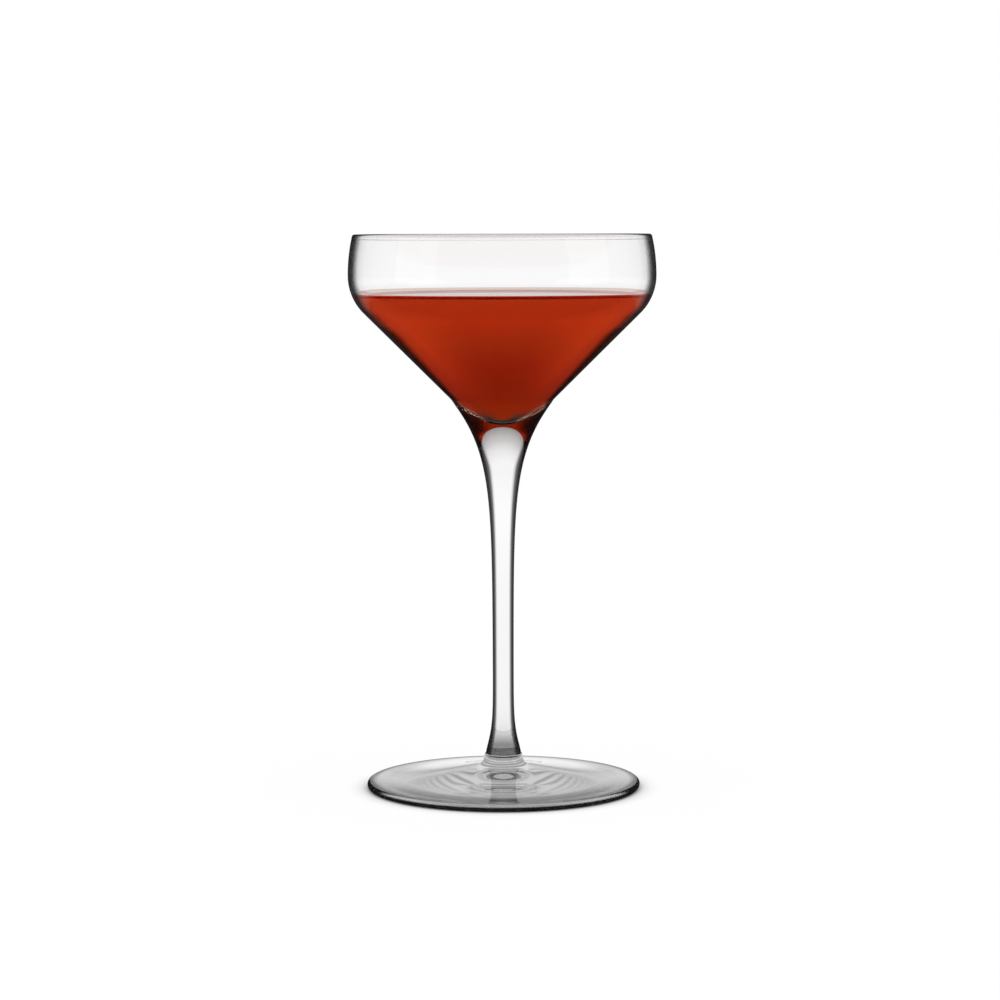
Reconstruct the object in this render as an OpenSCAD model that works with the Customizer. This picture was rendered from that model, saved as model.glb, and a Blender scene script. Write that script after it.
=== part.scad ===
// Coupe glass: a thin bowl on a drawn stem and a round foot, holding a drink.
// Millimetres, +Z up, origin at the middle of the ring that the foot stands on.

/* [Bowl] */
// Outside diameter at the widest point
bowl_d = 95; // [80:0.5:120]
// Height from the outside of the floor to the rim
bowl_h = 58.5; // [48:0.1:72]
// Drop from the rim to the widest point
widest_drop = 12.7; // [10:0.1:15.5]
// How far the rim is drawn in from the widest point, on the radius
rim_draw = 1.5; // [0.6:0.1:2.5]
// Outside radius of the turn from the side into the cone
shoulder_r = 16.2; // [12:0.1:20]
// Outside radius of the round floor
floor_r = 19.8; // [15:0.1:26]
// Inside radius of the round floor, tighter because the wall thickens towards the stem
inside_floor_r = 6; // [4:0.1:14]
// Thickness of the wall at the side and of the rim
wall = 1.8; // [1.2:0.1:2.5]
// Thickness of the floor on the axis
floor_t = 2.2; // [1.4:0.1:4]

/* [Stem] */
// Length on the axis, from the foot's seat to the bowl's floor
stem_l = 102.9; // [80:0.1:130]
// Diameter at the waist
waist_d = 6.5; // [5:0.1:9]
// How far the cup at the top reaches up round the bowl's floor
cup_h = 7.6; // [5:0.1:9.5]
// Length over which the cup eases into the waist
cup_ease = 14.6; // [10:0.1:20]
// Fullness of that curve, from 1 for the leanest
cup_full = 1.1; // [1:0.05:1.5]
// Diameter of the lower end
end_d = 11; // [9:0.1:15]
// Length over which the lower end eases into the waist
end_ease = 6.5; // [4:0.1:9]
// Fullness of that curve, from 1 for the leanest
end_full = 1.4; // [1:0.05:2]

/* [Foot] */
// Diameter
foot_d = 85; // [70:0.5:104]
// Height from the ground to the stem's seat
foot_h = 10.6; // [9:0.1:14]
// Thickness of the round edge
edge_t = 2.4; // [1.8:0.1:3.2]
// Rise of the top face from the edge to the collar
crown_h = 5.2; // [4:0.1:6.4]
// Hollowness of that rise, from 1 for a plain cone
crown_curve = 1.6; // [1:0.05:2.2]
// How far the collar stands out beyond the stem's end, on the radius
collar_step = 0.3; // [0.1:0.05:1]
// Length over which the collar eases into the top face
collar_ease = 0.5; // [0.3:0.05:2]
// Width of the flat ring that the glass stands on
ring_w = 5; // [3:0.1:8]
// Rise of the hollow inside that ring
hollow_h = 1.6; // [0.8:0.1:2.4]

/* [Drink] */
// Depth on the axis
drink_depth = 37.4; // [20:0.1:45]
// Rise of the surface where it meets the glass
meniscus_h = 1.1; // [0.4:0.1:1.5]
// Length over which that rise dies away
meniscus_ease = 1.6; // [1:0.1:2.5]

/* [Hidden] */
// Steps along the curves of each outline
floor_steps = 32;
side_steps = 40;
lip_steps = 12;
stem_steps = 72;
foot_steps = 48;
meniscus_steps = 16;
// Power that crowds an outline's points towards its tighter end
crowding = 2;
// Width of the drink's raised margin, in lengths of its ease
meniscus_eases = 6;

// Heights, from the ground up
floor_z = foot_h + stem_l;
cup_z = floor_z + cup_h;
rim_z = floor_z + bowl_h;
widest_z = rim_z - widest_drop;
lip_z = rim_z - wall / 2;
inside_floor_z = floor_z + floor_t;
level_z = inside_floor_z + drink_depth;
contact_z = level_z + meniscus_h;

// Radius of the arc from the widest point up to the rim
side_r = (pow(rim_draw, 2) + pow(widest_drop, 2)) / (2 * rim_draw);

// Each face of the bowl as [widest radius, shoulder radius, floor height, floor radius]
outside = [bowl_d / 2, shoulder_r, floor_z, floor_r];
inside = [bowl_d / 2 - wall, shoulder_r - wall, inside_floor_z, inside_floor_r];

// Angle from vertical of the cone that touches a face's floor arc and its shoulder arc
function cone_angle(face) =
    let (
        across = face[0] - face[1],
        up = widest_z - face[2] - face[3]
    )
    acos((face[3] - face[1]) / norm([across, up])) - atan2(up, across);

// Half the chord of a circle at a distance from its centre
function half_chord(r, distance) = sqrt(max(0, r * r - distance * distance));

// Radius of a face of the bowl at a height
function face_r(face, z) =
    let (
        angle = cone_angle(face),
        cone_low = face[2] + face[3] * (1 - sin(angle)),
        cone_high = widest_z - face[1] * sin(angle)
    )
    z > widest_z ? face[0] - side_r + half_chord(side_r, z - widest_z)
    : z > cone_high ? face[0] - face[1] + half_chord(face[1], widest_z - z)
    : z > cone_low ? face[3] * cos(angle) + (z - cone_low) * tan(angle)
    : half_chord(face[3], face[2] + face[3] - z);

// Points up a face, after the low end and up to the high end, closer together near the low end
function face_points(face, low, high, steps) = [
    for (i = [1:steps])
        let (z = low + (high - low) * pow(i / steps, crowding))
        [face_r(face, z), z]
];

function reversed(list) = [for (i = [len(list) - 1:-1:0]) list[i]];

// Share of a flare that is left at a distance from its full end
function eased(distance, ease, fullness = 1) = exp(-pow(distance / ease, fullness));

// The bowl's floor where the stem's cup holds it, and its inside where the drink wets it
cup_seat = concat([[0, floor_z]], face_points(outside, floor_z, cup_z, floor_steps));
wet_wall = concat([[0, inside_floor_z]], face_points(inside, inside_floor_z, contact_z, side_steps));

cup_r = face_r(outside, cup_z);
contact_r = face_r(inside, contact_z);
waist_r = waist_d / 2;
end_r = end_d / 2;
collar_r = end_r + collar_step;
foot_r = foot_d / 2;
edge_r = edge_t / 2;
edge_in = foot_r - edge_r;
ring_in = edge_in - ring_w;

function stem_r(z) =
    waist_r
    + (cup_r - waist_r) * eased(cup_z - z, cup_ease, cup_full)
    + (end_r - waist_r) * eased(z - foot_h, end_ease, end_full);

function foot_top(r) =
    edge_t
    + crown_h * pow((edge_in - r) / (edge_in - collar_r), crown_curve)
    + (foot_h - edge_t - crown_h) * eased(r - collar_r, collar_ease);

module turned(outline) {
    rotate_extrude($fn = 180)
        polygon(outline);
}

module bowl() {
    lip_out = face_r(outside, lip_z);
    lip_in = face_r(inside, lip_z);
    lip_mid = (lip_out + lip_in) / 2;
    lip_r = (lip_out - lip_in) / 2;
    lip = [
        for (i = [1:lip_steps - 1])
            let (turn = 180 * i / lip_steps)
            [lip_mid + lip_r * cos(turn), lip_z + lip_r * sin(turn)]
    ];
    outer = concat(cup_seat, face_points(outside, cup_z, lip_z, side_steps));
    inner = concat(wet_wall, face_points(inside, contact_z, lip_z, side_steps));
    color("aliceblue", 0.4)
        turned(concat(outer, lip, reversed(inner)));
}

module stem() {
    side = [
        for (i = [0:stem_steps - 1])
            let (z = foot_h + (cup_z - foot_h) * i / stem_steps)
            [stem_r(z), z]
    ];
    color("lightsteelblue", 0.4)
        turned(concat([[0, foot_h]], side, reversed(cup_seat)));
}

module foot() {
    hollow = [
        for (i = [0:foot_steps])
            let (r = ring_in * i / foot_steps)
            [r, hollow_h * (1 - pow(r / ring_in, 2))]
    ];
    edge = [
        for (i = [0:lip_steps])
            let (turn = 180 * i / lip_steps - 90)
            [edge_in + edge_r * cos(turn), edge_r + edge_r * sin(turn)]
    ];
    top = [
        for (i = [foot_steps - 1:-1:0])
            let (r = collar_r + (edge_in - collar_r) * pow(i / foot_steps, crowding))
            [r, foot_top(r)]
    ];
    color("gainsboro", 0.4)
        turned(concat(hollow, edge, top, [[0, foot_h]]));
}

module drink() {
    meniscus_w = min(contact_r, meniscus_eases * meniscus_ease);
    surface = [
        for (i = [1:meniscus_steps])
            let (inset = meniscus_w * pow(i / meniscus_steps, crowding))
            [contact_r - inset, level_z + meniscus_h * eased(inset, meniscus_ease)]
    ];
    color("firebrick", 0.8)
        turned(concat(wet_wall, surface, [[0, level_z]]));
}

bowl();
stem();
foot();
drink();
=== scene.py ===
# %% [markdown]
# # A coupe glass with a red drink
#
# The real object is three pieces of clear glass that were joined while hot: a thin bowl, a drawn stem and a round
# foot. A red drink stands in the bowl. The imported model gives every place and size. Its meshes could be shown as
# they are, but clear glass shows every facet, so this lesson turns each piece again more finely, gives it its finish
# and lights it as a studio would.

# %% Load the frame
import math

import bmesh
import bpy
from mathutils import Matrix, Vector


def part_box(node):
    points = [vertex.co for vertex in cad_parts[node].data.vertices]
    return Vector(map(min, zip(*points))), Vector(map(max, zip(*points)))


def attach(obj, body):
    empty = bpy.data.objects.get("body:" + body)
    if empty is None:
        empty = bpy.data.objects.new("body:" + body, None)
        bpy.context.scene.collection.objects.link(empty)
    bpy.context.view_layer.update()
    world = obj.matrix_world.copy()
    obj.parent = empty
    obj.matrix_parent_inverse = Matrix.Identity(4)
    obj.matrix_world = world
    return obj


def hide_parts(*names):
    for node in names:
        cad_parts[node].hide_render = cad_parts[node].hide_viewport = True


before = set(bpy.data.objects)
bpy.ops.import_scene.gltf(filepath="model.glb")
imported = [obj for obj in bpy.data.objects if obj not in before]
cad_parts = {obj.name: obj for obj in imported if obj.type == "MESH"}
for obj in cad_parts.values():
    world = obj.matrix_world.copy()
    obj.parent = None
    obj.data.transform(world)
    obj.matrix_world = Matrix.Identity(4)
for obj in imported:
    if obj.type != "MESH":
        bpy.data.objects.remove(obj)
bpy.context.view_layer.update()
scene = bpy.context.scene
scene.view_settings.view_transform = "Standard"
print("pieces in the frame:", sorted(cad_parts))

# %% [markdown]
# ## The camera
#
# The picture is square. The ellipses of the rim, the drink and the foot open by different amounts, and that fixes
# the camera: a long lens, less than a metre away, level with the rim and tipped a little down. A guess by eye would
# put it close, but only the fitted ellipses tell a long lens from a short one.

# %% Camera
mm = 1000
image_px = 1000
focal_px = 3000
camera_back = 0.926
camera_height = 0.1748
camera_aside = -0.0006
tip_down = math.radians(5.24)
roll = math.radians(0.17)

camera = bpy.data.objects.new("camera", bpy.data.cameras.new("camera"))
camera.data.lens = camera.data.sensor_width * focal_px / image_px
camera.location = (camera_aside, -camera_back, camera_height)
camera.rotation_euler = (math.pi / 2 - tip_down, roll, 0)
scene.collection.objects.link(camera)
scene.camera = camera
print(f"lens {camera.data.lens:.0f} mm, {camera_back * mm:.0f} mm from the axis")

# %% [markdown]
# ## Node trees from plain expressions
#
# Geometry trees and materials are both made of nodes. They could be wired by hand in the editor, but a script can be
# read and run again. A small class wraps a socket, so that a line of Python such as `1 - mask` adds its Math node,
# and one method adds any other node: its settings first, then its sockets.

# %% A wire between nodes
def add_node(tree, kind, settings=None, sockets=None, output=0):
    node = tree.nodes.new(kind)
    for name, value in (settings or {}).items():
        if name == "stops":
            set_stops(node.color_ramp, value)
        else:
            setattr(node, name, value)
    for name, value in (sockets or {}).items():
        if isinstance(value, Wire):
            tree.links.new(value.socket, node.inputs[name])
        else:
            node.inputs[name].default_value = value
    return Wire(tree, node.outputs[output]) if node.outputs else node


def set_stops(ramp, stops):
    while len(ramp.elements) < len(stops):
        ramp.elements.new(1.0)
    for element, (position, shade) in zip(ramp.elements, stops):
        element.position = position
        element.color = (*shade, 1.0) if isinstance(shade, tuple) else (shade, shade, shade, 1.0)


class Wire:
    """A node's output socket, with the operators that the expressions below use."""

    def __init__(self, tree, socket):
        self.tree, self.socket = tree, socket

    def add(self, kind, settings=None, sockets=None, output=0):
        return add_node(self.tree, kind, settings, sockets, output)

    def other(self, output):
        return Wire(self.tree, self.socket.node.outputs[output])

    def math(self, operation, *values):
        return self.add("ShaderNodeMath", {"operation": operation}, dict(enumerate(values)))

    def __add__(self, value):
        return self.math("ADD", self, value)

    def __sub__(self, value):
        return self.math("SUBTRACT", self, value)

    def __rsub__(self, value):
        return self.math("SUBTRACT", value, self)

    def __mul__(self, value):
        return self.math("MULTIPLY", self, value)

    def __truediv__(self, value):
        return self.math("DIVIDE", self, value)

    __radd__, __rmul__ = __add__, __mul__


# %% [markdown]
# ## A lathe in Geometry Nodes
#
# Every piece is round, so one rule makes them all: an outline is carried round the axis. Screw or spin would do it
# too, but a tree keeps the steps in sight. A grid has one row for each point of the outline and one column for each
# step of the turn, each of its points reads the radius and height of its row, and the seam and the poles are welded.
# Each stretch of an outline has a zone number, because the faces where two pieces are fused take a clear finish.

# %% The turn
SKIN, FUSED, WET, INSIDE, UNDERSIDE = range(5)
half = 0.5


def carried_round(outline):
    """A grid with a row for each point of the outline and a column for each step of the turn."""
    segments = outline.other("Segments")
    rows = outline.add("GeometryNodeAttributeDomainSize", {"component": "MESH"}, {"Geometry": outline}, "Point Count")
    grid = outline.add("GeometryNodeMeshGrid", None, {"Vertices X": rows, "Vertices Y": segments + 1}, "Mesh")
    index = outline.add("GeometryNodeInputIndex")
    row = index.math("FLOOR", (index + half) / (segments + 1))
    column = index - row * (segments + 1)
    turn = column / segments * math.tau
    place = outline.add("GeometryNodeInputPosition")
    sampled = outline.add("GeometryNodeSampleIndex", {"data_type": "FLOAT_VECTOR", "domain": "POINT"},
                          {"Geometry": outline, "Value": place, "Index": row})
    radius = outline.add("ShaderNodeSeparateXYZ", None, {"Vector": sampled}, "X")
    around = outline.add("ShaderNodeCombineXYZ", None, {
        "X": radius * turn.math("COSINE", turn), "Y": radius * turn.math("SINE", turn), "Z": radius.other("Z")})
    return outline.add("GeometryNodeSetPosition", None, {"Geometry": grid, "Position": around})


def zoned(piece, outline):
    """Each face takes the zone number of the outline's point that it starts from."""
    index = outline.add("GeometryNodeInputIndex")
    row = index.math("FLOOR", (index + half) / outline.other("Segments"))
    zone = outline.add("GeometryNodeInputNamedAttribute", {"data_type": "FLOAT"}, {"Name": "zone"})
    row_zone = outline.add("GeometryNodeSampleIndex", {"data_type": "FLOAT", "domain": "POINT"},
                           {"Geometry": outline, "Value": zone, "Index": row})
    return outline.add("GeometryNodeStoreNamedAttribute", {"data_type": "FLOAT", "domain": "FACE"},
                       {"Geometry": piece, "Name": "zone", "Value": row_zone})


# %% Welds, edges and finishes
def welded(piece, outline):
    """The seam and the poles are welded, and every edge but a sharp one is shaded smooth."""
    joined = outline.add("GeometryNodeMergeByDistance", None, {
        "Geometry": piece, "Distance": outline.other("Weld distance")})
    rounded = outline.add("GeometryNodeSetShadeSmooth", {"domain": "FACE"}, {"Geometry": joined})
    angle = outline.add("GeometryNodeInputMeshEdgeAngle", None, None, "Unsigned Angle")
    corner = outline.add("FunctionNodeCompare", {"data_type": "FLOAT", "operation": "GREATER_THAN"},
                         {"A": angle, "B": outline.other("Sharp angle")})
    return outline.add("GeometryNodeSetShadeSmooth", {"domain": "EDGE"},
                       {"Geometry": rounded, "Selection": corner, "Shade Smooth": False})


def finished(piece, outline):
    """The skin's finish goes all over, and then others on the faces where two pieces meet."""
    piece = outline.add("GeometryNodeSetMaterial", None, {
        "Geometry": piece, "Material": outline.other("Skin finish")})
    zone = outline.add("GeometryNodeInputNamedAttribute", {"data_type": "FLOAT"}, {"Name": "zone"})
    for number, finish in ((FUSED, "Fused finish"), (WET, "Wet finish")):
        chosen = outline.add("FunctionNodeCompare", {"data_type": "FLOAT", "operation": "EQUAL"},
                             {"A": zone, "B": float(number), "Epsilon": half})
        piece = outline.add("GeometryNodeSetMaterial", None, {
            "Geometry": piece, "Selection": chosen, "Material": outline.other(finish)})
    return piece


# %% The lathe
lathe_inputs = {
    "Outline": "Geometry", "Segments": "Int", "Weld distance": "Float", "Sharp angle": "Float",
    "Skin finish": "Material", "Fused finish": "Material", "Wet finish": "Material"}


def lathe_tree():
    tree = bpy.data.node_groups.new("lathe", "GeometryNodeTree")
    for name, kind in lathe_inputs.items():
        tree.interface.new_socket(name, in_out="INPUT", socket_type="NodeSocket" + kind)
    tree.interface.new_socket("Piece", in_out="OUTPUT", socket_type="NodeSocketGeometry")
    outline = add_node(tree, "NodeGroupInput", output="Outline")
    piece = welded(zoned(carried_round(outline), outline), outline)
    realized = outline.add("GeometryNodeRealizeInstances", None, {"Geometry": piece})
    outline.add("NodeGroupOutput", None, {"Piece": finished(realized, outline)})
    return tree


lathe = lathe_tree()
print("lathe nodes:", len(lathe.nodes))

# %% [markdown]
# A piece starts as its outline, a string of points with a zone number each. The modifier could stay on it, but the
# frame and the export want a plain mesh, so the turned result is copied into one and the modifier is taken off. Its
# faces are then made to point outwards, and edges that are left open are counted, because light only bends rightly
# through a closed shell.

# %% A piece off the lathe
turn_steps = 256
weld_distance = 1e-6
sharp_angle = math.radians(35)


def turned_piece(node, stretches, skin, fused=None, wet=None):
    points = [point for _, stretch in stretches for point in stretch]
    zones = [float(zone) for zone, stretch in stretches for _ in stretch]
    mesh = bpy.data.meshes.new(node + "_glass")
    mesh.from_pydata([(r, 0.0, z) for r, z in points], [(i, i + 1) for i in range(len(points) - 1)], [])
    mesh.attributes.new("zone", "FLOAT", "POINT").data.foreach_set("value", zones)
    piece = bpy.data.objects.new(node + "_turned", mesh)
    scene.collection.objects.link(piece)

    modifier = piece.modifiers.new("lathe", "NODES")
    modifier.node_group = lathe
    values = {"Segments": turn_steps, "Weld distance": weld_distance, "Sharp angle": sharp_angle,
              "Skin finish": skin, "Fused finish": fused or skin, "Wet finish": wet or skin}
    for item in lathe.interface.items_tree:
        if item.name in values:
            modifier[item.identifier] = values[item.name]
    depsgraph = bpy.context.evaluated_depsgraph_get()
    turned = bpy.data.meshes.new_from_object(piece.evaluated_get(depsgraph), depsgraph=depsgraph)
    piece.modifiers.clear()
    piece.data = turned

    shell = bmesh.new()
    shell.from_mesh(turned)
    bmesh.ops.recalc_face_normals(shell, faces=shell.faces)
    open_edges = sum(not edge.is_manifold for edge in shell.edges)
    print(f"{node}: {len(shell.faces)} faces, {open_edges} open edges, {shell.calc_volume() * mm ** 3:.0f} mm3")
    shell.to_mesh(turned)
    shell.free()

    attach(piece, "root")
    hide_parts(node)
    return piece


# %% [markdown]
# ## The outlines
#
# The bowl was blown, so its outline is smooth: four curves end to end, which are a round floor, a cone, a tight
# shoulder and a long arc that draws in towards the rim. Points could be traced from a picture, but arcs that touch
# the cone stay smooth and keep their few sizes. The inside is made by the same rule from a tighter floor, so the wall
# thickens towards the stem. The heights and widths come from the frame.

# %% Heights and widths from the frame
bowl_low, bowl_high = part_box("bowl")
stem_low, stem_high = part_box("stem")
foot_low, foot_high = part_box("foot")
drink_low, drink_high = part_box("drink")
bowl_r = min(*bowl_high.xy, *-bowl_low.xy)
foot_r = min(*foot_high.xy, *-foot_low.xy)
floor_z, rim_z = bowl_low.z, bowl_high.z
seat_z, cup_z = stem_low.z, stem_high.z
print(f"bowl {2 * mm * bowl_r:.1f} mm wide, rim {mm * rim_z:.1f} mm high, foot {2 * mm * foot_r:.1f} mm wide")

# %% The two faces of the bowl
wall = 0.0018
widest_drop = 0.0127
rim_draw = 0.0015
shoulder_r = 0.0162
outside_floor_r = 0.0198
inside_floor_r = 0.006
widest_z = rim_z - widest_drop
lip_z = rim_z - wall / 2
side_r = (rim_draw ** 2 + (rim_z - widest_z) ** 2) / (2 * rim_draw)


def half_chord(r, distance):
    return math.sqrt(max(0.0, r * r - distance * distance))


def bowl_face(inset, face_floor_z, low):
    """The radius of a face of the bowl at a height, as a function."""
    widest, shoulder = bowl_r - inset, shoulder_r - inset
    run, rise = widest - shoulder, widest_z - face_floor_z - low
    slope = math.acos((low - shoulder) / math.hypot(run, rise)) - math.atan2(rise, run)
    cone_low = face_floor_z + low * (1 - math.sin(slope))
    cone_high = widest_z - shoulder * math.sin(slope)

    def radius(z):
        if z > widest_z:
            return widest - side_r + half_chord(side_r, z - widest_z)
        if z > cone_high:
            return widest - shoulder + half_chord(shoulder, widest_z - z)
        if z > cone_low:
            return low * math.cos(slope) + (z - cone_low) * math.tan(slope)
        return half_chord(low, face_floor_z + low - z)

    return radius


def up_face(radius, low, high, steps):
    """Points up a face after its low end, closer together near it, where a floor turns fastest."""
    heights = [low + (high - low) * (i / steps) ** 2 for i in range(1, steps + 1)]
    return [(radius(z), z) for z in heights]


outside = bowl_face(0.0, floor_z, outside_floor_r)
inside = bowl_face(wall, drink_low.z, inside_floor_r)
print(f"inside of the rim {2 * mm * inside(lip_z):.1f} mm wide")

# %% The bowl's outline
lip_steps = 16
seat_steps = 24
side_steps = 72
dry_steps = 40
lip_out, lip_in = outside(lip_z), inside(lip_z)
lip = [((lip_out + lip_in) / 2 + (lip_out - lip_in) / 2 * math.cos(math.pi * i / lip_steps),
        lip_z + (lip_out - lip_in) / 2 * math.sin(math.pi * i / lip_steps)) for i in range(1, lip_steps)]
cup_seat = [(0.0, floor_z)] + up_face(outside, floor_z, cup_z, seat_steps)
outer = up_face(outside, cup_z, lip_z, side_steps)
wet_inner = [(0.0, drink_low.z)] + up_face(inside, drink_low.z, drink_high.z, side_steps)
dry_inner = up_face(inside, drink_high.z, lip_z, dry_steps)
bowl_outline = [
    (FUSED, cup_seat[:-1]),
    (SKIN, cup_seat[-1:] + outer + lip),
    (INSIDE, dry_inner[::-1]),
    (WET, wet_inner[::-1]),
]
print("stretches of the bowl's outline:", [len(stretch) for _, stretch in bowl_outline])

# %% [markdown]
# The stem is a waist with a flare at each end. Glass that is drawn out thins quickly at first and then ever more
# slowly, so each flare dies away as an exponential of the distance from its end. A spline through a few points would
# look alike, but this rule has one length for each flare and never ripples.

# %% The stem's outline
waist_r = 0.00325
end_r = 0.0055
cup_r = outside(cup_z)
cup_ease, cup_fullness = 0.0146, 1.1
end_ease, end_fullness = 0.0065, 1.4
stem_steps = 140
end_steps = 6


def eased(distance, ease, fullness=1.0):
    return math.exp(-(distance / ease) ** fullness)


def stem_radius(z):
    at_cup = (cup_r - waist_r) * eased(cup_z - z, cup_ease, cup_fullness)
    at_end = (end_r - waist_r) * eased(z - seat_z, end_ease, end_fullness)
    return waist_r + at_cup + at_end


stem_side = [(stem_radius(z), z) for z in (
    seat_z + (cup_z - seat_z) * i / stem_steps for i in range(stem_steps))]
stem_end = [(end_r * i / end_steps, seat_z) for i in range(end_steps)]
stem_outline = [(FUSED, stem_end), (SKIN, stem_side), (FUSED, cup_seat[::-1])]
print(f"waist {2 * mm * min(r for r, _ in stem_side):.2f} mm thick")

# %% [markdown]
# The foot is a low cone with a slightly hollow top and a rounded edge. It stands on a ring, because a shallow hollow
# underneath keeps it from rocking, and a low collar takes the stem. A disc with a bevel would look like a washer, so
# the top is a power curve, and the collar dies away into it as the stem's flares do.

# %% The foot's outline
edge_t = 0.0024
crown_h = 0.0052
crown_curve = 1.6
collar_step = 0.0003
collar_ease = 0.0005
hollow_h = 0.0016
ring_w = 0.005
foot_steps = 64
collar_r = end_r + collar_step
edge_in = foot_r - edge_t / 2
ring_in = edge_in - ring_w


def foot_top(r):
    crown = crown_h * ((edge_in - r) / (edge_in - collar_r)) ** crown_curve
    return edge_t + crown + (seat_z - edge_t - crown_h) * eased(r - collar_r, collar_ease)


hollow = [(ring_in * i / foot_steps, hollow_h * (1 - (i / foot_steps) ** 2)) for i in range(foot_steps + 1)]
edge = [(edge_in + edge_t / 2 * math.cos(turn), edge_t / 2 * (1 + math.sin(turn))) for turn in (
    math.pi * (i / lip_steps - half) for i in range(lip_steps + 1))]
top = [(r, foot_top(r)) for r in (
    collar_r + (edge_in - collar_r) * (i / foot_steps) ** 2 for i in range(foot_steps - 1, -1, -1))]
foot_outline = [(UNDERSIDE, hollow), (SKIN, edge + top), (FUSED, [(end_r, seat_z)] + stem_end[::-1])]
print(f"ring under the foot {2 * mm * ring_in:.1f} to {2 * mm * edge_in:.1f} mm wide")

# %% [markdown]
# The drink fills the inside of the bowl and climbs the glass a little at its edge. A flat lid would do from afar, but
# the raised edge catches the light. Two faces in one place would flicker, so the drink's side lies a hair inside the
# wall, too little to be seen.

# %% The drink's outline
film = 0.00002
meniscus_h = 0.0011
meniscus_ease = 0.0016
margin = 6 * meniscus_ease
margin_steps = 32
still_steps = 12
level_z = drink_high.z - meniscus_h
bottom_z = drink_low.z + film
wet = bowl_face(wall + film, bottom_z, inside_floor_r)
wet_side = [(0.0, bottom_z)] + up_face(wet, bottom_z, drink_high.z, side_steps)
surface = [(wet_side[-1][0] - inset, level_z + meniscus_h * eased(inset, meniscus_ease)) for inset in (
    margin * (i / margin_steps) ** 2 for i in range(1, margin_steps + 1))]
still = [(surface[-1][0] * (1 - i / still_steps), level_z) for i in range(1, still_steps + 1)]
drink_outline = [(WET, wet_side[:-1]), (SKIN, wet_side[-1:] + surface + still)]
print(f"drink {mm * (level_z - bottom_z):.1f} mm deep")

# %% [markdown]
# ## Clear glass
#
# Fire-polished glass is clear and almost perfectly smooth. A Glass shader alone would give it, but a Principled shader
# with full transmission also keeps a faint ripple, a breath of haze and a duller underside. In a studio the dark sides
# of the room show as dark lines along the edges of glass, so a painted shade, a dark matt shader, is mixed in where it
# is seen edge on. Layer Weight finds those places from every side.

# %% Helpers for the finishes
white = (1.0, 1.0, 1.0, 1.0)


def new_material(name):
    material = bpy.data.materials.new(name)
    material.use_nodes = True
    material.node_tree.nodes.clear()
    return material, add_node(material.node_tree, "ShaderNodeTexCoord", None, None, "Object")


def graded(value, low, high, low_value=0.0, high_value=1.0, way="SMOOTHSTEP"):
    """From one value to another while a third goes from low to high."""
    return value.add("ShaderNodeMapRange", {"interpolation_type": way}, {
        "Value": value, "From Min": low, "From Max": high, "To Min": low_value, "To Max": high_value})


def across(place, low, high, low_value=0.0, high_value=1.0):
    """From one value to another between two heights."""
    height = place.add("ShaderNodeSeparateXYZ", None, {"Vector": place}, "Z")
    return graded(height, low, high, low_value, high_value)


def from_axis(place):
    """The distance of a place from the axis of the glass."""
    flat = place.add("ShaderNodeVectorMath", {"operation": "MULTIPLY"}, {0: place, 1: (1.0, 1.0, 0.0)})
    return place.add("ShaderNodeVectorMath", {"operation": "LENGTH"}, {0: flat}, "Value")


def blend(share, first, second):
    """A share of the second shader over the first."""
    return first.add("ShaderNodeMixShader", None, {0: share, 1: first, 2: second})


def shaded(place, stops, value):
    return place.add("ShaderNodeValToRGB", {"stops": stops}, {"Fac": value})


def seen_edge_on(place, lean=0.0):
    """How far a face turns from the eye, with its normal leaning upwards by a share."""
    normal = place.add("ShaderNodeNewGeometry", None, None, "Normal")
    leaning = place.add("ShaderNodeVectorMath", {"operation": "ADD"}, {0: normal, 1: (0.0, 0.0, lean)})
    leaning = place.add("ShaderNodeVectorMath", {"operation": "NORMALIZE"}, {0: leaning})
    return place.add("ShaderNodeLayerWeight", None, {"Blend": half, "Normal": leaning}, "Facing")


# %% Polished glass
glass_ior = 1.52
ripple_scale, ripple_strength, ripple_depth = 70.0, 0.2, 0.0001
breath_scale, breath_detail = 30.0, 3.0
polish, dulling = 0.01, 0.1
shade_grey = (0.005, 0.005, 0.005, 1.0)


def polished(place, zone):
    drawn = place.add("ShaderNodeTexNoise", None, {"Vector": place, "Scale": ripple_scale, "Detail": 1.0})
    ripple = place.add("ShaderNodeBump", None, {
        "Strength": ripple_strength, "Distance": ripple_depth, "Height": drawn})
    breath = place.add("ShaderNodeTexNoise", None, {
        "Vector": place, "Scale": breath_scale, "Detail": breath_detail})
    underneath = zone.math("GREATER_THAN", zone, UNDERSIDE - half)
    return place.add("ShaderNodeBsdfPrincipled", None, {
        "Base Color": white, "Roughness": breath * (polish + underneath * dulling), "Normal": ripple,
        "IOR": glass_ior, "Transmission Weight": 1.0})


def clear_glass(name, stops, edges, lean=0.0, gleam=None, painted_shade=None):
    material, place = new_material(name)
    zone = place.add("ShaderNodeAttribute", {"attribute_name": "zone"}, None, "Fac")
    glass = polished(place, zone)
    if gleam:
        glass = gleam(place, glass)
    shade = place.add("ShaderNodeBsdfPrincipled", None, {
        "Base Color": shade_grey, "Roughness": 1.0, "Specular IOR Level": 0.0})
    # Painted shade: a dark matt shader mixed in by a ramp over how far the face turns from the eye.
    darkness = shaded(place, stops, edges(place, seen_edge_on(place, lean)))
    # Where a piece has its own painted shade by height, the darker of the two is taken.
    if painted_shade:
        darkness = darkness.math("MAXIMUM", darkness, painted_shade(place))
    within = place.add("ShaderNodeNewGeometry", None, None, "Backfacing")
    outer = (1 - within) * zone.math("LESS_THAN", zone, half)
    place.add("ShaderNodeOutputMaterial", None, {"Surface": blend(outer * darkness, glass, shade)})
    print(f"{name}: {len(material.node_tree.nodes)} nodes")
    return material
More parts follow.
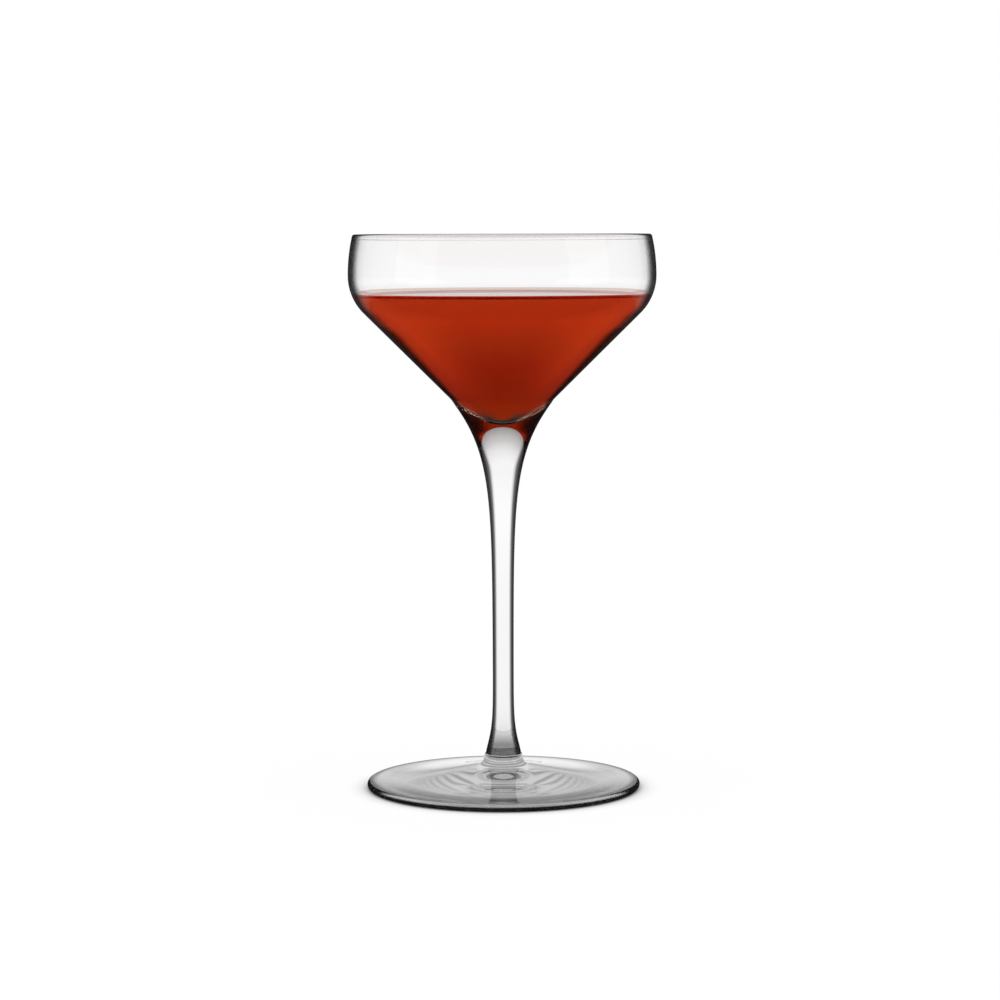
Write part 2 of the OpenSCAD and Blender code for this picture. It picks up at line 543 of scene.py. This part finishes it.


# %% [markdown]
# The bowl's thin wall has a dark outline, a painted shade which is narrower where the cone turns into the shoulder. Its
# rim was melted round in a flame and catches the light as a pale line. Geometry that fine would need many more faces,
# so the line is a painted highlight, a pale matt shader on the top of the lip.

# %% The bowl's finish
bowl_stops = [(0.55, 0.0), (0.64, 0.1), (0.668, 0.3), (0.709, 0.66), (0.757, 0.92), (0.82, 0.96)]
painted_lip_highlight = (0.8, 0.8, 0.8, 1.0)
lip_half, lip_highlight_share = 0.0003, 0.75
slimmer = 0.05
slim_from = (level_z - 0.012, level_z - 0.008)
slim_to = (level_z - 0.004, level_z + 0.001)


def lip_gleam(place, glass):
    # Painted highlight: a pale matt shader on the top of the lip.
    pale = place.add("ShaderNodeBsdfPrincipled", None, {"Base Color": painted_lip_highlight, "Roughness": 0.3})
    return blend(across(place, lip_z - lip_half, lip_z + lip_half, 0.0, lip_highlight_share), glass, pale)


def bowl_edges(place, facing):
    return facing + across(place, *slim_from, 0.0, -slimmer) + across(place, *slim_to, 0.0, slimmer)


bowl_glass = clear_glass("bowl_glass", bowl_stops, bowl_edges, gleam=lip_gleam)

# %% [markdown]
# The stem is solid, so it bends what is behind it like a lens: a bright window down its middle, between dark edges. The
# edges are a painted shade, which starts below the seam with the bowl, is wide in the cup and narrow beside the window,
# and the lower end is greyed by a painted shade too. Real refraction gives the window, and the ramp of the painted
# shade is shifted with height to give its edges their widths.

# %% The stem's finish
stem_stops = [(0.144, 0.0), (0.222, 0.35), (0.28, 0.8), (0.445, 0.96)]
stem_lean = 0.25
seam_zone, seam_shift, cup_shift = (cup_z - 0.0025, cup_z - 0.006), -0.36, 0.06
window_zone, window_shift = (cup_z - 0.0085, cup_z - 0.0115), -0.22
rod_zone, rod_shift = (cup_z - 0.012, cup_z - 0.022), 0.16
painted_end_shade_zone, painted_end_shade = (seat_z + 0.0075, seat_z + 0.0025), 0.6


def stem_edges(place, facing):
    cup = across(place, *seam_zone, seam_shift, cup_shift)
    window = across(place, *window_zone, 0.0, window_shift)
    return facing + cup + window + across(place, *rod_zone, 0.0, rod_shift)


# Painted shade: the stem's lower end is greyed.
def stem_end_painted_shade(place):
    return across(place, *painted_end_shade_zone, 0.0, painted_end_shade)


stem_glass = clear_glass("stem_glass", stem_stops, stem_edges, stem_lean, painted_shade=stem_end_painted_shade)

# %% [markdown]
# The foot's round edge gathers the dark of the room, and a painted shade stands in for it: its lower half is black all
# round, its upper half only where it turns from the eye, and the top greys towards it. A bevel with a dark material
# would stay dark from above, so the ramp follows the view. The collar takes a little painted shade too.

# %% The foot's finish
foot_stops = [(0.0, 0.0), (1.0, 0.985)]
grey_zone, top_painted_shade = (edge_in - 0.0026, edge_in + 0.0001), 0.6
flat_view, flat_share = (0.68, 0.8), 0.3
rim_zone = (edge_in - 0.0002, edge_in + 0.0006)
turned_view = (0.38, 0.58)
lower_half = (0.0019, 0.0012)
collar_zone, collar_painted_shade = (seat_z - 0.0026, seat_z - 0.0014), 0.2


# Painted shade: grey on the top towards the edge, black on the round edge, and a little on the collar.
def foot_edges(place, facing):
    radius = from_axis(place)
    grey = graded(radius, *grey_zone, 0.0, top_painted_shade) * graded(facing, *flat_view, flat_share, 1.0, "LINEAR")
    rim = graded(radius, *rim_zone, way="LINEAR")
    lower = across(place, *lower_half)
    black = rim * lower.math("MAXIMUM", lower, graded(facing, *turned_view))
    return grey.math("MAXIMUM", grey, black) + across(place, *collar_zone, 0.0, collar_painted_shade)


foot_glass = clear_glass("foot_glass", foot_stops, foot_edges)

# %% [markdown]
# ## Where the pieces meet
#
# Glass that is joined hot has no surface left inside, so the faces at the seams are plain clear and light passes
# straight on. Where the stem's end sits on the foot, the seam is a grey film, patchy with noise: dark from above, a
# painted shade, and paler from below, a painted light, with a painted dark ring under the stem's edge. The wall behind
# the drink bends light only by the step from glass to drink, and mirrors part of the grazing light. The finish of the
# skin on all of them would bend light twice at each seam.

# %% Fused, seeded and wet faces
drink_ior = 1.35
wet_ior = glass_ior / drink_ior
patch_scale, patch_detail = 400.0, 2.0
film_share, patch_share, below_share = 0.4, 0.4, 0.4
film_painted_shade, film_painted_light, film_ring_shade = 0.03, 0.9, 0.7
ring_inner, ring_outer = (0.0024, 0.0032), (0.0052, 0.0045)
mirror_tint = (1.0, 0.58, 0.42, 1.0)
mirror_zone, mirror_share = (drink_low.z + 0.0003, drink_low.z + 0.002), 0.36


def plain_clear(place):
    return place.add("ShaderNodeBsdfTransparent", None, {"Color": white})


def fused_glass():
    material, place = new_material("fused_glass")
    place.add("ShaderNodeOutputMaterial", None, {"Surface": plain_clear(place)})
    return material


def seam_glass():
    material, place = new_material("seam_glass")
    patches = place.add("ShaderNodeTexNoise", None, {"Vector": place, "Scale": patch_scale, "Detail": patch_detail})
    below = place.add("ShaderNodeNewGeometry", None, None, "Backfacing")
    radius = from_axis(place)
    ring = graded(radius, *ring_inner) * graded(radius, *ring_outer)
    # Painted shade and light: dark grey from above, pale from below with a darker painted ring under the stem's edge.
    grey_film = place.add("ShaderNodeBsdfPrincipled", None, {
        "Base Color": below * (film_painted_light - ring * film_ring_shade) + film_painted_shade, "Roughness": 0.6})
    share = patches * patch_share + film_share + below * below_share
    place.add("ShaderNodeOutputMaterial", None, {"Surface": blend(share, plain_clear(place), grey_film)})
    return material


def wet_glass():
    material, place = new_material("wet_glass")
    bend = place.add("ShaderNodeBsdfRefraction", None, {"Roughness": 0.0, "IOR": wet_ior})
    mirror = place.add("ShaderNodeBsdfGlass", None, {"Color": mirror_tint, "Roughness": 0.0, "IOR": wet_ior})
    share = across(place, *mirror_zone, 0.0, mirror_share)
    place.add("ShaderNodeOutputMaterial", None, {"Surface": blend(share, bend, mirror)})
    return material


fused_face, seam_face, wet_face = fused_glass(), seam_glass(), wet_glass()
print("faces where pieces meet:", fused_face.name, seam_face.name, wet_face.name)

# %% [markdown]
# ## The drink
#
# The drink is a slightly cloudy red: deep where the sight line through it is long, lighter at the sides, and dark where
# its floor turns under. Scattering in a volume would do this but takes many samples, so the side is a matt skin with
# painted shade and painted light: its red darkens towards the bottom, turns paler where the face turns from the eye,
# and turns to a painted dark grey where its floor turns under. Its edge at the glass and its far side near the surface
# stay clear, and an absorbing volume tints what shows through them. The surface is smooth and mirrors the room.

# %% The drink's reds
# Painted shade: the deep red darkens towards the bottom of the drink.
deep_red = [
    (0.05, (0.45, 0.0445, 0.002)), (0.16, (0.42, 0.03, 0.001)), (0.33, (0.437, 0.0272, 0.0008)),
    (0.5, (0.508, 0.032, 0.0018)), (0.67, (0.61, 0.056, 0.0056)), (0.83, (0.79, 0.066, 0.008)),
    (0.98, (0.706, 0.066, 0.01))]
# Painted light: the pale red, used where the face turns from the eye, lightens the sides.
pale_red = [
    (0.05, (0.45, 0.0445, 0.002)), (0.2, (0.45, 0.03, 0.001)), (0.33, (0.58, 0.037, 0.002)),
    (0.5, (0.76, 0.063, 0.0045)), (0.67, (0.92, 0.09, 0.0075)), (0.83, (1.0, 0.096, 0.01)),
    (0.98, (0.86, 0.09, 0.011))]
# Painted shade where the drink's floor turns under.
under_painted_shade = (0.045, 0.048, 0.042, 1.0)
short_view, under_view = (0.225, 0.31), (0.28, 0.5)
under_zone = (bottom_z + 0.005, bottom_z + 0.001)


def matt(place, colour):
    return place.add("ShaderNodeBsdfPrincipled", None, {
        "Base Color": colour, "Roughness": 1.0, "IOR": 1.0, "Specular IOR Level": 0.0})


def cloudy_red(place, deep, pale):
    facing = place.add("ShaderNodeLayerWeight", None, {"Blend": half}, "Facing")
    cloud = blend(graded(facing, *short_view, way="LINEAR"), matt(place, deep), matt(place, pale))
    under = graded(facing, *under_view) * across(place, *under_zone)
    return blend(under, cloud, matt(place, under_painted_shade))


# %% The drink's finish
edge_zone, edge_share = (level_z + 0.0004, level_z), 0.1
far_zone = (level_z - 0.003, level_z - 0.008)
thin_zone = (level_z + 0.00003, level_z + 0.0002)
top_clearness = 0.4
absorbed_tint, absorbed_density = (0.97, 0.40, 0.0, 1.0), 60.0


def still_surface(place, colour, clearness):
    return place.add("ShaderNodeBsdfPrincipled", None, {
        "Base Color": colour, "Roughness": 0.0, "IOR": drink_ior, "Transmission Weight": clearness})


def red_drink():
    material, place = new_material("drink")
    height = place.add("ShaderNodeSeparateXYZ", None, {"Vector": place}, "Z")
    level = graded(height, bottom_z, level_z, way="LINEAR")
    deep = shaded(place, deep_red, level)
    cloud = cloudy_red(place, deep, shaded(place, pale_red, level))
    within = place.add("ShaderNodeNewGeometry", None, None, "Backfacing")
    near = (1 - within) * across(place, *edge_zone, edge_share, 1.0)
    side = blend(near + within * across(place, *far_zone), plain_clear(place), cloud)
    top = still_surface(place, deep, top_clearness)
    top = blend(across(place, *thin_zone), top, still_surface(place, white, 1.0))
    zone = place.add("ShaderNodeAttribute", {"attribute_name": "zone"}, None, "Fac")
    skin = blend(zone.math("GREATER_THAN", zone, half), top, side)
    depth = place.add("ShaderNodeVolumeAbsorption", None, {"Color": absorbed_tint, "Density": absorbed_density})
    place.add("ShaderNodeOutputMaterial", None, {"Surface": skin, "Volume": depth})
    return material


drink_finish = red_drink()
print("drink nodes:", len(drink_finish.node_tree.nodes))

# %% [markdown]
# ## Turning the pieces
#
# Each outline now goes through the lathe with its finishes and takes the place of its piece in the frame. The pieces
# stay separate, as they were before they were joined, so each can be changed without the others.

# %% Turn the pieces
bowl = turned_piece("bowl", bowl_outline, bowl_glass, fused_face, wet_face)
stem = turned_piece("stem", stem_outline, stem_glass, fused_face)
foot = turned_piece("foot", foot_outline, foot_glass, seam_face)
drink = turned_piece("drink", drink_outline, drink_finish)

# %% [markdown]
# ## The studio floor
#
# The glass stands on white paper that runs out of sight. A lit white floor would need more light than the glass can
# take, so the paper glows white to the camera and keeps a soft shadow where the foot touches it. Through the glass it
# is a little dimmer, most of all under the foot and under its front edge, where little light gets in. In mirrored
# light it is dark underneath and white only far off.

# %% The paper's shade through the glass
through_stops = [(0.3, 0.8), (0.6, 0.8), (0.75, 0.88), (0.88, 0.94), (0.97, 1.0)]
middle_zone, middle_dim = (0.015, foot_r), 0.6
edge_inner, edge_outer = (0.018, 0.032), (foot_r + 0.002, foot_r - 0.001)
front_zone, front_dim = (0.012, -0.024), 0.9
grazing_view, steep_share = (0.35, 0.7), 0.25
steep_view, steep_dim = (0.2, 0.5), 0.95
guided_dim, most_guided = 0.2, 2.0


def paper_through_glass(place, path, facing):
    radius = place.add("ShaderNodeVectorMath", {"operation": "LENGTH"}, {0: place}, "Value")
    middle = graded(radius, *middle_zone, middle_dim, 0.0)
    towards = place.add("ShaderNodeSeparateXYZ", None, {"Vector": place}, "Y")
    front = graded(radius, *edge_inner) * graded(radius, *edge_outer) * graded(towards, *front_zone, 0.0, front_dim)
    covered = 1 - middle.math("MAXIMUM", middle, front) * graded(facing, *grazing_view, steep_share, 1.0)
    mirrored_times = path.other("Glossy Depth")
    guided = 1 - path.math("MINIMUM", mirrored_times, most_guided) * guided_dim
    unlit = 1 - path.math("MINIMUM", mirrored_times, 1.0) * graded(facing, *steep_view, steep_dim, 0.0)
    return shaded(place, through_stops, facing) * covered * guided * unlit


# %% Floor
paper_white = (0.9, 0.9, 0.9, 1.0)
mirrored_stops = [(0.6, 0.04), (0.88, 1.0)]
contact_reach, contact_power = 0.006, 1.5
glow_strength, glow_share = 1.025, 0.8


def glowing(place, colour, strength=1.0):
    return place.add("ShaderNodeEmission", None, {"Color": colour, "Strength": strength})


def floor_paper():
    material, place = new_material("floor_paper")
    path = place.add("ShaderNodeLightPath", None, None, "Is Camera Ray")
    facing = place.add("ShaderNodeLayerWeight", None, {"Blend": half}, "Facing")
    open_sky = place.add("ShaderNodeAmbientOcclusion", None, {"Distance": contact_reach}, "AO")
    glow = glowing(place, open_sky.math("POWER", open_sky, contact_power), glow_strength)
    paper = place.add("ShaderNodeBsdfDiffuse", None, {"Color": paper_white})
    seen = blend(path * glow_share, paper, glow)
    seen = blend(path.other("Is Transmission Ray"), seen, glowing(place, paper_through_glass(place, path, facing)))
    bounced = path.other("Is Reflection Ray") * path.other("Is Glossy Ray")
    seen = blend(bounced, seen, glowing(place, shaded(place, mirrored_stops, facing)))
    lighting = path.math("GREATER_THAN", path.other("Diffuse Depth"), half)
    seen = blend(lighting, seen, glowing(place, paper_white))
    place.add("ShaderNodeOutputMaterial", None, {"Surface": seen})
    return material


floor_side = 4.0
floor_drop = 0.00005
floor_mesh = bpy.data.meshes.new("floor")
corners = [(x * floor_side, y * floor_side, -floor_drop) for x, y in ((-1, -1), (1, -1), (1, 1), (-1, 1))]
floor_mesh.from_pydata(corners, [], [(0, 1, 2, 3)])
floor_mesh.materials.append(floor_paper())
floor = bpy.data.objects.new("floor", floor_mesh)
scene.collection.objects.link(floor)
print(f"floor {2 * floor_side:.0f} m wide, {floor_drop * mm:.2f} mm under the foot")

# %% [markdown]
# ## The sweep
#
# In a studio the paper curls up behind the table, and glass mirrors that pale curl low on its sides. A whole curved
# backdrop would light the scene from every side, so a low ring stands in for it, seen only in reflections.

# %% Low white sweep
sweep_r, sweep_h = 1.2, 0.165
sweep_sides = 48
fade_from, fade_to = 0.02, 0.3


def sweep_paper():
    material, place = new_material("sweep_paper")
    place.add("ShaderNodeOutputMaterial", None, {
        "Surface": glowing(place, across(place, fade_from, sweep_h, 1.0, fade_to))})
    return material


ring = [(sweep_r * math.cos(math.tau * i / sweep_sides), sweep_r * math.sin(math.tau * i / sweep_sides))
        for i in range(sweep_sides)]
after = [(i + 1) % sweep_sides for i in range(sweep_sides)]
sweep_mesh = bpy.data.meshes.new("sweep")
sweep_mesh.from_pydata(
    [(x, y, -floor_drop) for x, y in ring] + [(x, y, sweep_h) for x, y in ring], [],
    [(i, after[i], sweep_sides + after[i], sweep_sides + i) for i in range(sweep_sides)])
sweep_mesh.materials.append(sweep_paper())
sweep = bpy.data.objects.new("sweep", sweep_mesh)
sweep.visible_camera = False
sweep.visible_diffuse = False
sweep.visible_shadow = False
sweep.visible_transmission = False
scene.collection.objects.link(sweep)
print(f"sweep {sweep_h * mm:.0f} mm high, {sweep_r:.1f} m away")

# %% [markdown]
# ## The room
#
# The room is white round the horizon and darker overhead, which gives the glass its greys. A picture of a room could
# surround it, but a ramp over the height is enough for a round object. The camera and the drink's own light see plain
# white, and what the glass mirrors is a greyer room.

# %% World
around_stops = [
    (0.0, 1.0), (0.2, 1.0), (0.31, 0.85), (0.42, 0.62), (0.53, 0.5), (0.57, 0.46), (0.64, 0.42), (0.8, 0.4),
    (1.0, 0.5)]
room_stops = [(0.0, 0.36), (0.28, 0.36), (0.42, 0.7), (0.7, 0.7), (0.8, 0.08), (0.95, 0.3)]
guided_room_dim = 0.15

world = bpy.data.worlds.new("studio")
scene.world = world
world.use_nodes = True
world.node_tree.nodes.clear()
path = add_node(world.node_tree, "ShaderNodeLightPath", None, None, "Is Camera Ray")
direction = path.add("ShaderNodeTexCoord", None, None, "Generated")
height = path.add("ShaderNodeSeparateXYZ", None, {"Vector": direction}, "Z")
guided = path.math("MINIMUM", path.other("Glossy Depth"), most_guided)
around = shaded(path, around_stops, height) * (1 - guided * guided_room_dim)
bounced = path.other("Is Reflection Ray") * path.other("Is Glossy Ray")
plain = path.math("MAXIMUM", path, path.math("GREATER_THAN", path.other("Diffuse Depth"), half))
room = path.add("ShaderNodeMix", {"data_type": "RGBA"}, {
    0: bounced, 6: around, 7: shaded(path, room_stops, height)}, 2)
shown = path.add("ShaderNodeMix", {"data_type": "RGBA"}, {0: plain, 6: room, 7: white}, 2)
background = path.add("ShaderNodeBackground", None, {"Color": shown, "Strength": 1.0})
path.add("ShaderNodeOutputWorld", None, {"Surface": background})
print("world nodes:", len(world.node_tree.nodes))

# %% [markdown]
# ## The lamps
#
# Two soft boxes stand at the sides, as for most pictures of glass, and leave faint upright bands on the bowl. Bare
# bulbs would leave hard dots. Their light is set by radiance, so that their size can change without their brightness.

# %% Lamps
lamp_angle = math.radians(66)
lamp_lift, lamp_distance = 0.25, 0.8
lamp_width, lamp_height = 0.5, 0.7
lamp_radiance = 0.6


def soft_lamp(name, angle):
    lamp = bpy.data.objects.new(name, bpy.data.lights.new(name, "AREA"))
    lamp.data.shape = "RECTANGLE"
    lamp.data.size, lamp.data.size_y = lamp_width, lamp_height
    lamp.data.energy = lamp_radiance * math.pi * lamp_width * lamp_height
    lamp.location = (lamp_distance * math.sin(angle), -lamp_distance * math.cos(angle), lamp_lift)
    lamp.rotation_euler = (math.pi / 2, 0, angle)
    lamp.visible_camera = False
    lamp.visible_transmission = False
    scene.collection.objects.link(lamp)
    return lamp


lamps = [soft_lamp("lamp_left", -lamp_angle), soft_lamp("lamp_right", lamp_angle)]
print("lamps:", [f"{lamp.name} {lamp.data.energy:.2f} W" for lamp in lamps])

# %% [markdown]
# Light runs round inside the foot's edge many times before it comes out. With the usual few bounces it would be lost
# and leave dark smudges, so the limits are high.

# %% Bounces
bounces = 128
clear_bounces = 16
scene.cycles.max_bounces = bounces
scene.cycles.transmission_bounces = bounces
scene.cycles.glossy_bounces = bounces
scene.cycles.transparent_max_bounces = clear_bounces
print("bounces:", scene.cycles.max_bounces)
